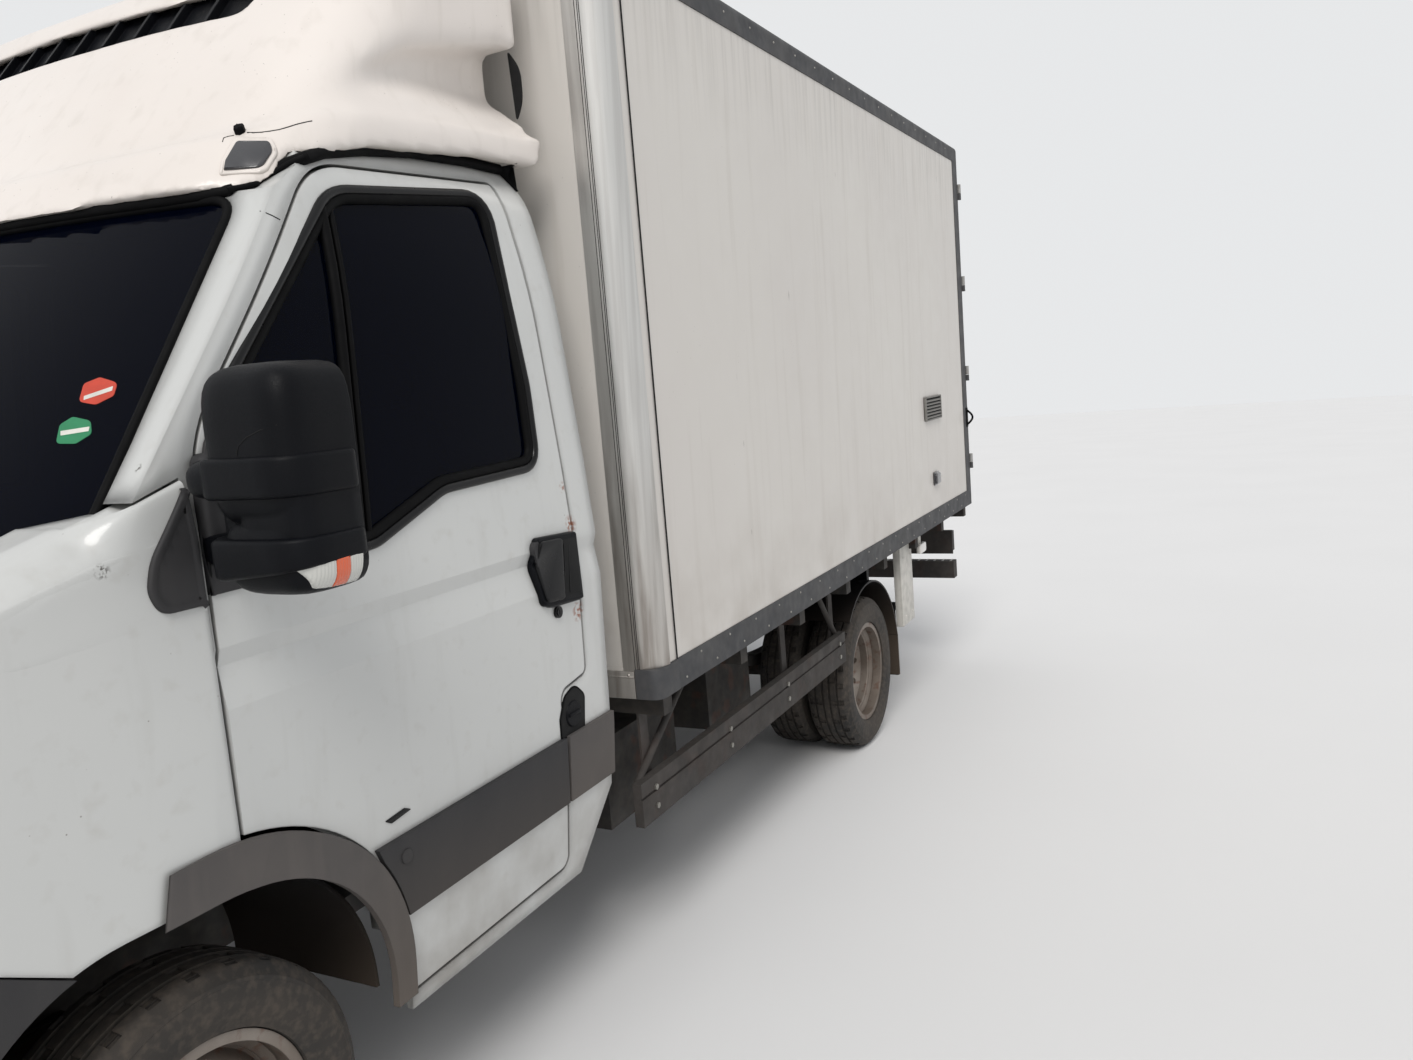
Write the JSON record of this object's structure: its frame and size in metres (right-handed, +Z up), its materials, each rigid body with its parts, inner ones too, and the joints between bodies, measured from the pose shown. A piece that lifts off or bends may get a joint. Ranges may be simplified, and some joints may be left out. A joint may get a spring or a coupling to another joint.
{
  "type": "refrigerated truck",
  "caption": "Light refrigerated truck with a short-nosed cab, a moulded roof fairing and an insulated box with twin rear doors.",
  "frame": {"origin": "on the ground under the middle of the truck's bounding box", "axes": "+X towards the front of the truck, +Y to its left, +Z up"},
  "size_m": [6.2089, 2.59, 2.92],
  "materials": {
    "cab_paint": "white gloss paint, dulled, with road dirt",
    "fairing_gelcoat": "off-white gel coat with rain streaks",
    "box_panel": "warm off-white laminate with dirt streaks",
    "post_aluminium": "anodised, scuffed",
    "rail_grey": "dark grey, chalky",
    "load_floor": "anti-slip grey",
    "cab_glass": "clear, faint green tint",
    "dark_moulding": "grained dark grey",
    "faded_trim": "sun-faded grey-brown",
    "black_moulding": "grained black",
    "lamp_lens": "clear polycarbonate over bright reflectors",
    "red_lens": "red lens",
    "floor_paint": "dark floor covering",
    "seat_cloth": "dark woven cloth",
    "chassis_paint": "black chassis paint, dusty",
    "guard_paint": "weathered brown-grey",
    "engine_iron": "rough casting",
    "exhaust_steel": "heat-stained steel",
    "lock_gear": "galvanised",
    "cooler_casing": "white casing, shaded",
    "tyre_rubber": "black rubber, dusty",
    "rim_paint": "silver paint under brake dust"
  },
  "bodies": {
    "truck": {"cab_sides": "cab_paint", "cab_roof": "cab_paint", "cab_rear_panel": "cab_paint", "cab_floor": "floor_paint", "fenders": "cab_paint", "wheel_liners": "black_moulding", "headlamps": "lamp_lens", "cowl": "dark_moulding", "windscreen": "cab_glass", "grille": "dark_moulding", "bumper": "dark_moulding", "arch_trims": "faded_trim", "seats": "seat_cloth", "dashboard": "black_moulding", "roof_fairing": "fairing_gelcoat", "fairing_grille": "black_moulding", "fridge_unit": "cooler_casing", "frame_rails": "chassis_paint", "box_subframe": "chassis_paint", "rear_axle": "chassis_paint", "engine_block": "engine_iron", "front_suspension": "chassis_paint", "fuel_tank": "chassis_paint", "service_boxes": "chassis_paint", "exhaust": "exhaust_steel", "box_floor": "load_floor", "box_front_wall": "box_panel", "box_sides": "box_panel", "box_roof": "box_panel", "box_rails": "rail_grey", "corner_posts": "post_aluminium", "rear_frame": "rail_grey", "side_guards": "guard_paint", "mudguards": "black_moulding", "rear_bumper": "guard_paint", "tail_lamps": "red_lens"},
    "bonnet": {"bonnet": "cab_paint"},
    "cab_door_left": {"door_left": "cab_paint", "door_glass_left": "cab_glass", "door_trim_left": "dark_moulding", "mirror_left": "black_moulding"},
    "cab_door_right": {"door_right": "cab_paint", "door_glass_right": "cab_glass", "door_trim_right": "dark_moulding", "mirror_right": "black_moulding"},
    "rear_door_left": {"rear_door_left": "box_panel", "rear_door_gear_left": "lock_gear"},
    "rear_door_right": {"rear_door_right": "box_panel", "rear_door_gear_right": "lock_gear"},
    "knuckle_left": {"knuckle_left": "engine_iron"},
    "knuckle_right": {"knuckle_right": "engine_iron"},
    "front_wheel_left": {"front_tyre_left": "tyre_rubber", "front_rim_left": "rim_paint"},
    "front_wheel_right": {"front_tyre_right": "tyre_rubber", "front_rim_right": "rim_paint"},
    "rear_wheels_left": {"rear_tyres_left": "tyre_rubber", "rear_rims_left": "rim_paint"},
    "rear_wheels_right": {"rear_tyres_right": "tyre_rubber", "rear_rims_right": "rim_paint"}
  },
  "joints": [
    {"name": "bonnet_hinge", "type": "hinge", "parent": "truck", "child": "bonnet", "pos_m": [2.28849, 0, 1.34179], "axis": [0, -1, 0], "range_deg": [0, 50]},
    {"name": "door_left_hinge", "type": "hinge", "parent": "truck", "child": "cab_door_left", "pos_m": [2.03252, 0.997, 0.87317], "axis": [-0.0379, 0, -0.9993], "range_deg": [0, 50]},
    {"name": "door_right_hinge", "type": "hinge", "parent": "truck", "child": "cab_door_right", "pos_m": [2.03252, -0.997, 0.87317], "axis": [0.0379, 0, 0.9993], "range_deg": [0, 50]},
    {"name": "rear_door_left_hinge", "type": "hinge", "parent": "truck", "child": "rear_door_left", "pos_m": [-3.03824, 1.062, 1.76622], "axis": [-0.0379, 0, -0.9993], "range_deg": [0, 250]},
    {"name": "rear_door_right_hinge", "type": "hinge", "parent": "truck", "child": "rear_door_right", "pos_m": [-3.03824, -1.062, 1.76622], "axis": [0.0379, 0, 0.9993], "range_deg": [0, 250]},
    {"name": "steer_left", "type": "hinge", "parent": "truck", "child": "knuckle_left", "pos_m": [2.13218, 0.69, 0.335], "axis": [0, 0, 1], "range_deg": [-32, 32]},
    {"name": "steer_right", "type": "hinge", "parent": "truck", "child": "knuckle_right", "pos_m": [2.13218, -0.69, 0.335], "axis": [0, 0, 1], "range_deg": [-32, 32]},
    {"name": "front_wheel_left_spin", "type": "hinge", "parent": "knuckle_left", "child": "front_wheel_left", "pos_m": [2.13218, 0.8425, 0.335], "axis": [0, 1, 0], "continuous": true},
    {"name": "front_wheel_right_spin", "type": "hinge", "parent": "knuckle_right", "child": "front_wheel_right", "pos_m": [2.13218, -0.8425, 0.335], "axis": [0, 1, 0], "continuous": true},
    {"name": "rear_wheels_left_spin", "type": "hinge", "parent": "truck", "child": "rear_wheels_left", "pos_m": [-1.32031, 0.7625, 0.335], "axis": [0, 1, 0], "continuous": true},
    {"name": "rear_wheels_right_spin", "type": "hinge", "parent": "truck", "child": "rear_wheels_right", "pos_m": [-1.32031, -0.7625, 0.335], "axis": [0, 1, 0], "continuous": true}
  ],
  "couplings": [
    {"joint": "steer_right", "follows": "steer_left", "ratio": 1}
  ]
}
